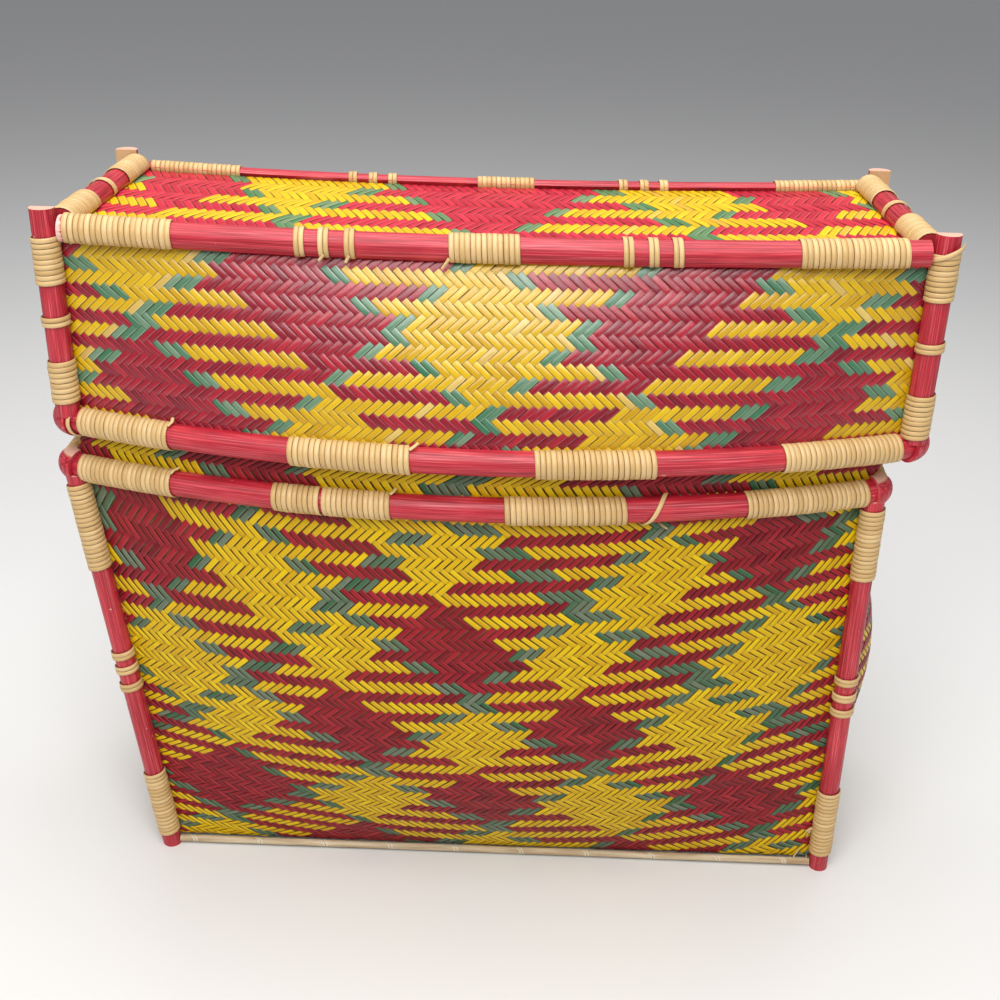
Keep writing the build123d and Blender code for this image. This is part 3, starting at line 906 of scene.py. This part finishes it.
def whittled_end(tree, painted, x, grain):
    """Leave a rail bare past a place near its left end."""
    place = parts_of(tree, coordinates(tree, "Object"))
    ragged = math_node(tree, "MULTIPLY_ADD", grain, WHITTLED_RAGGED, place["X"])
    bare = tinted(tree, colour(*WHITTLED_WOOD), grain, WHITTLED_TINT)
    past = spread(tree, ragged, x * METRE + WHITTLED_BLUR, x * METRE - WHITTLED_BLUR)
    return mix_colour(tree, past, painted, bare)


def rod_material():
    """Thin bare rod with darker rings at its joints."""
    material, tree, principled = shader("bare_rod")
    place = coordinates(tree, "Object")
    grain = stretched_noise(tree, place, *ROD_GRAIN)
    base = tinted(tree, colour(*ROD), grain, ROD_TINT)
    parts = parts_of(tree, place)
    along = math_node(tree, "ADD", parts["X"], parts["Y"])
    part_way = math_node(tree, "PINGPONG", along, ROD_JOINT * METRE / 2)
    base = tinted(tree, base, part_way, ROD_RING)
    base = tinted(tree, base, part_way, ROD_JOINT_LINE)
    dress(tree, principled, base, ROD_ROUGHNESS, grain, *ROD_BUMP)
    return material


def inside_material():
    """What shows between the strips: dyes in shade, and strip ends along upper edges."""
    material, tree, principled = shader("plait_inside")
    place = coordinates(tree, "Object")
    parts = parts_of(tree, place)
    run = math_node(tree, "ADD", parts["X"], parts["Y"])
    lines = []
    for sign in ("ADD", "SUBTRACT"):
        slant = math_node(tree, sign, run, parts["Z"])
        wave = math_node(tree, "SINE", math_node(tree, "MULTIPLY", slant, BANDS_PER_METRE))
        lines.append(tinted(tree, colour(*BAND_YELLOW), wave, BAND_TINT))
    base = mix_colour(tree, 0.5, *lines)
    base = mix_colour(tree, SHADE_SHARE, base, colour(*SHADE))
    ends = stretched_noise(tree, place, *STRIP_ENDS)
    folded = tinted(tree, colour(*FOLD_YELLOW), ends, FOLD_TINT)
    upward = spread(tree, parts_of(tree, coordinates(tree, "Normal"))["Z"], *UPWARD_RANGE)
    tree.links.new(mix_colour(tree, upward, base, folded), principled.inputs["Base Color"])
    principled.inputs["Roughness"].default_value = INSIDE_ROUGHNESS
    return material


def arc_path(plan, height, side):
    """Path along one side of a rim hoop: centre, direction and way out at shares of its length."""
    chord, reach, bow, radius, half = side_arc(plan, side)
    facing = facing_of(side)
    back = reach + bow - radius
    arm = radius + CORNER + HOOP_OFFSET

    def path(share):
        angle = facing + half * (2 * share - 1)
        out = np.stack([np.cos(angle), np.sin(angle), 0 * angle], axis=-1)
        middle = np.array([plan[0] + math.cos(facing) * back, math.sin(facing) * back, height])
        return arm * out + middle, np.stack([-np.sin(angle), np.cos(angle), 0 * angle], axis=-1), out
    return path, 2 * half * arm, RAIL_RADIUS


def sag_path(facing_y):
    """Path along the front or back top rail."""
    tilt, slide, offset = BACK_RAIL_LIE if facing_y > 0 else FRONT_RAIL_LIE
    half = math.asin(TOP_RAIL_HALF / SAG_RADIUS)
    arm = SAG_RADIUS - offset * math.sin(tilt) + slide * math.cos(tilt)
    y = facing_y * (LID_DEPTH / 2 + LID_TOP_BOW + offset * math.cos(tilt) + slide * math.sin(tilt))

    def path(share):
        angle = half * (2 * share - 1)
        same = 0 * angle
        centre = np.stack([arm * np.sin(angle), same + y, SAG_CENTRE - arm * np.cos(angle)], axis=-1)
        forward = np.stack([np.cos(angle), same, np.sin(angle)], axis=-1)
        up = np.stack([-np.sin(angle), same, np.cos(angle)], axis=-1)
        return centre, forward, up * math.sin(tilt) + np.array([0, facing_y * math.cos(tilt), 0])
    return path, 2 * half * arm, RAIL_RADIUS


def line_path(start, end, out, radius):
    """Path along a straight pole."""
    start, end, out = np.array(start, float), np.array(end, float), np.array(out, float)
    length = np.linalg.norm(end - start)

    def path(share):
        centre = start + (end - start) * share[..., None]
        forward = np.broadcast_to((end - start) / length, centre.shape)
        return centre, forward, np.broadcast_to(out, centre.shape)
    return path, length, radius


def cane_grid(points, tone, grain, apart):
    """Cane as points, faces, material numbers and attributes."""
    shape = points.shape[:2]
    faces = quad_faces(1, *shape)[:, ::-1]
    attributes = point_attributes(shape, CANE_RIM_SHARE, tone, grain[:, None], CANE_ACROSS, apart)
    return points.reshape(-1, 3), faces, np.zeros(len(faces)), attributes


def pole_reach(angle, radius):
    """Distance from the middle of a split pole to its skin, all the way round."""
    flat = -POLE_FLAT / np.minimum(np.cos(angle), -LEAST_COSINE)
    return np.where(np.cos(angle) < 0, np.minimum(radius, flat), radius)


def cane_coil(path, length, radius, first, last, pitch):
    """One wrap: cane wound side by side round a split pole."""
    turns = max(2, round((last - first) * length / pitch))
    pitch = (last - first) * length / turns
    step = np.arange(turns * TURN_POINTS + 1)
    number = np.minimum(step // TURN_POINTS, turns - 1)
    angle = 2 * math.pi * step / TURN_POINTS - math.pi * (2 * number + 1)
    luck = chance.random((4, turns))[:, number]
    place = step / TURN_POINTS * pitch + CANE_SHIFT * (luck[0] - 0.5) * np.cos(angle / 2)
    centre, forward, out = path(first + place / length)
    side = np.cross(forward, out)
    crown = CANE_THICKNESS * (CROWN_LEAST + CROWN_BY_TURN * luck[1])
    height = CANE_SEAT + crown[:, None] * CANE_CROWN
    half = pitch / 2 * (HALF_LEAST + HALF_BY_TURN * luck[2])
    ray = out * np.cos(angle)[:, None] + side * np.sin(angle)[:, None]
    points = (
        centre[:, None] + ray[:, None] * (pole_reach(angle, radius)[:, None] + height)[..., None]
        + forward[:, None] * (half[:, None] * CANE_ACROSS)[..., None]
    )
    apart = number * TURN_APART + first * WRAP_APART
    return cane_grid(points, luck[3][:, None], step * TURN_GRAIN, apart[:, None])


def ribbon(centre, normal, width):
    """Loose strand of cane along a line, with its skin to the normal."""
    ahead = np.gradient(centre, axis=0)
    across = np.cross(ahead, normal)
    across = across / np.linalg.norm(across, axis=1)[:, None]
    height = CANE_THICKNESS * (CANE_CROWN - 1)
    points = (
        centre[:, None] + across[:, None] * (width / 2 * CANE_ACROSS)[:, None]
        + normal[:, None] * height[:, None]
    )
    return cane_grid(points, STRAND_TONE, np.arange(len(centre)) * STRAND_GRAIN, STRAND_APART)


def pole_strand(path, radius, places, width):
    """Loose strand that lies on a pole."""
    places = np.array(places, float)
    run = np.linspace(0, len(places) - 1, STRAND_POINTS)
    share, turned, lift = (np.interp(run, np.arange(len(places)), column) for column in places.T)
    centre, forward, out = path(share)
    turned = np.radians(turned)[:, None]
    ray = out * np.cos(turned) + np.cross(forward, out) * np.sin(turned)
    return ribbon(centre + ray * (radius + CANE_THICKNESS + lift)[:, None], ray, width)


def binding_piece(node, run, wraps, band_places, material, body):
    """Mesh of the cane wraps of one pole, in place of the CAD sleeves."""
    path, length, radius = run
    wound = [(a, b, CANE_PITCH) for a, b in wraps]
    wound += [(s - BAND_PITCH / length, s + BAND_PITCH / length, BAND_PITCH) for s in band_places]
    laid = [cane_coil(path, length, radius, first, last, pitch) for first, last, pitch in wound]
    laid += [pole_strand(path, radius, places, STRAND_WIDTH) for places in STRANDS.get(node, ())]
    laid += [pole_strand(path, radius, places, TAIL_WIDTH) for places in TAILS.get(node, ())]
    piece = make_mesh(node.replace("binding", "cane"), *joined(laid), [material])
    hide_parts(node)
    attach(piece, body)


def body_post_line(facing_x, facing_y):
    """Path up a basket post."""
    ends = []
    for z in (0.0, BODY_HEIGHT):
        middle, half_x, half_y, *bows = body_plan(z)
        ends.append((middle + facing_x * half_x, facing_y * (half_y + POST_OFFSET), z))
    return line_path(*ends, (0, facing_y, 0), BODY_POST_RADIUS)


def lid_post_line(facing_x, facing_y):
    """Path up a lid post."""
    x, y = facing_x * LID_WIDTH / 2, facing_y * (LID_DEPTH / 2 + POST_OFFSET)
    return line_path((x, y, LID_RIM), (x, y, POST_TOP), (0, facing_y, 0), LID_POST_RADIUS)


def side_rail_line(facing_x):
    """Path along a side top rail, from the back to the front."""
    x, z = facing_x * SIDE_RAIL_X, LID_EDGE + HOOP_OFFSET
    return line_path((x, SIDE_RAIL_BACK, z), (x, SIDE_RAIL_FRONT, z), (0, 0, 1), RAIL_RADIUS)


def lid_panels(dyes, inner=False):
    """Panels of the lid's walls, whose strips run on round the corners."""
    around = (LID_WIDTH + LID_DEPTH) / 2
    starts = {FRONT: 0, RIGHT: around, BACK: 0, LEFT: -around}
    return [
        wall_panel(
            lid_plan, side, even_lattice(LID_MIDDLE - start, LID_STEP, LID_LEVEL, LID_RISE),
            LID_SPAN, dyes, inner=inner)
        for side, start in starts.items()
    ]


def body_panels(sides, span, dyes, inner=False):
    """Panels of the basket's walls on an even lattice."""
    even = even_lattice(*EVEN_LATTICE)
    return [wall_panel(body_plan, side, even, span, dyes, inner=inner) for side in sides]


def weave_all():
    """All the plaited panels of the basket and the lid."""
    lid_strips = strip_materials(LID_DYES, LID_GLOSS)
    # The top's strips take lighter dyes, as painted light from above
    lit_top_strips = strip_materials(LIT_TOP_DYES, BODY_GLOSS)
    body_strips = strip_materials(BODY_DYES, BODY_GLOSS)
    lid_backslash = strip_dyes(LID_BANDS)
    lid_dyes = (mirrored(lid_backslash), lid_backslash)
    body_dyes = (strip_dyes(BODY_SLASH_BANDS), strip_dyes(BODY_BACKSLASH_BANDS))
    lid_walls = lid_panels(lid_dyes)
    plaited_piece("lid_plait_front", lid_walls[:1], lid_strips, "lid")
    plaited_piece("lid_plait_top", [top_panel(lid_dyes)], lit_top_strips, "lid")
    plaited_piece("lid_plait_back_and_sides", lid_walls[1:], lid_strips, "lid")
    level = even_lattice(*NECK_LATTICE)
    front = wall_panel(body_plan, FRONT, body_front_lattice, BODY_SPAN, body_dyes, FRONT_PHASE)
    others = body_panels((RIGHT, BACK, LEFT), BODY_SPAN, body_dyes)
    neck = [wall_panel(body_plan, FRONT, level, NECK_SPAN, body_dyes, FRONT_PHASE)]
    neck += body_panels((RIGHT, BACK, LEFT), NECK_SPAN, body_dyes)
    plaited_piece("body_plait_front", [front], body_strips, "basket")
    plaited_piece("body_plait_back_and_sides", others, body_strips, "basket")
    plaited_piece("body_plait_neck", neck, body_strips, "basket")
    lid_inside = lid_panels(lid_dyes, True) + [top_panel(lid_dyes, True)]
    body_inside = body_panels(range(4), INSIDE_SPAN, body_dyes, True)
    plaited_piece("lid_plait_inside", lid_inside, lid_strips, "lid")
    plaited_piece("body_plait_inside", body_inside, body_strips, "basket")


def bind_rims(cane):
    """Cane wraps of the two rim hoops."""
    for name, side in SIDES.items():
        wide = side in (FRONT, BACK)
        lid_wraps = LID_RIM_WRAPS if wide else LID_SIDE_WRAPS
        body_wraps = BODY_RIM_WRAPS if wide else BODY_SIDE_WRAPS
        lid_path = arc_path(lid_plan(LID_RIM), LID_RIM, side)
        body_path = arc_path(body_plan(BODY_HEIGHT), BODY_HEIGHT, side)
        binding_piece(f"lid_rim_binding_{name}", lid_path, lid_wraps, (), cane, "lid")
        binding_piece(f"body_rim_binding_{name}", body_path, body_wraps, (), cane, "basket")


def bind_all():
    """All the cane wraps."""
    cane = cane_material()
    bind_rims(cane)
    binding_piece("lid_top_binding_front", sag_path(-1), TOP_FRONT, TOP_FRONT_BANDS, cane, "lid")
    binding_piece("lid_top_binding_back", sag_path(1), TOP_BACK, TOP_BACK_BANDS, cane, "lid")
    for hand, facing_x in HANDS.items():
        side_rail = side_rail_line(facing_x)
        binding_piece(f"lid_top_binding_{hand}", side_rail, TOP_SIDE, TOP_SIDE_BANDS, cane, "lid")
        for end, facing_y in ENDS.items():
            binding_piece(
                f"lid_post_binding_{end}_{hand}", lid_post_line(facing_x, facing_y),
                LID_POST_WRAPS[hand], LID_POST_BANDS, cane, "lid")
            binding_piece(
                f"body_post_binding_{end}_{hand}", body_post_line(facing_x, facing_y),
                BODY_POST_WRAPS[hand], BODY_POST_BANDS[hand], cane, "basket")


def paint_cad():
    """Materials of the CAD pieces that stay in view, by part of their name."""
    side_rail = lacquer_material("lacquer_along_y", (1, 0, 1))
    materials = {
        "weave": inside_material(),
        "post_front": lacquer_material("lacquer_front_post", (1, 1, 0), 1),
        "post_back": lacquer_material("lacquer_back_post", (1, 1, 0), -1),
        "base_rod": rod_material(),
        "top_rail_left": side_rail,
        "top_rail_right": side_rail,
        "top_rail_front": lacquer_material("lacquer_front_rail", (0, 1, 1), whittled_x=WHITTLED_X),
        "top_rail_back": lacquer_material("lacquer_along_x", (0, 1, 1)),
        "hoop": lacquer_material("lacquer_hoop", (0, 0, 1)),
    }
    for name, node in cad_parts.items():
        if "binding" in name:
            continue
        node.data.materials.clear()
        node.data.materials.append(next(m for key, m in materials.items() if key in name))


def set_place(thing, right, up, back, place):
    """Put a camera or light in place by its axes."""
    matrix = Matrix.Identity(4)
    for row in range(3):
        for column, axis in enumerate((right, up, back, place)):
            matrix[row][column] = axis[row]
    thing.matrix_world = matrix


def add_camera():
    """Camera where the photograph was taken from."""
    right = np.array([math.cos(YAW), math.sin(YAW), 0])
    level = np.array([-math.sin(YAW), math.cos(YAW), 0])
    ahead = math.cos(PITCH) * level + np.array([0, 0, -math.sin(PITCH)])
    down = -math.sin(PITCH) * level + np.array([0, 0, -math.cos(PITCH)])
    right, down = (
        math.cos(ROLL) * right + math.sin(ROLL) * down,
        -math.sin(ROLL) * right + math.cos(ROLL) * down,
    )
    lens = bpy.data.cameras.new("camera")
    lens.lens = LENS
    lens.sensor_width = SENSOR
    lens.clip_start = CLIP_START
    camera = bpy.data.objects.new("camera", lens)
    bpy.context.scene.collection.objects.link(camera)
    set_place(camera, right, -down, -ahead, [part * METRE for part in EYE])
    bpy.context.scene.camera = camera


def add_light(name, place, target, size, power):
    """Soft light that looks at a point."""
    lamp = bpy.data.lights.new(name, "AREA")
    lamp.energy = power
    lamp.shape = "RECTANGLE"
    lamp.size, lamp.size_y = size
    light = bpy.data.objects.new(name, lamp)
    bpy.context.scene.collection.objects.link(light)
    way = np.array(target) - np.array(place)
    way = way / np.linalg.norm(way)
    side = np.cross(way, NEARLY_UP)
    side = side / np.linalg.norm(side)
    set_place(light, side, np.cross(side, way), -way, place)


def add_stage():
    """Pale floor, soft light and a pale surround."""
    material, tree, principled = shader("floor")
    principled.inputs["Base Color"].default_value = FLOOR_COLOUR
    principled.inputs["Roughness"].default_value = FLOOR_ROUGHNESS
    bpy.ops.mesh.primitive_plane_add(size=FLOOR_SIZE, location=(0, 0, 0))
    floor = bpy.context.object
    floor.name = "floor"
    floor.data.materials.append(material)
    world = bpy.data.worlds.new("surround")
    world.use_nodes = True
    background = world.node_tree.nodes["Background"]
    background.inputs["Color"].default_value = SURROUND_COLOUR
    background.inputs["Strength"].default_value = SURROUND_STRENGTH
    bpy.context.scene.world = world
    for name, light in LIGHTS.items():
        add_light(name, *light)
    bpy.context.scene.view_settings.view_transform = "Standard"


weave_all()
bind_all()
paint_cad()
add_camera()
add_stage()
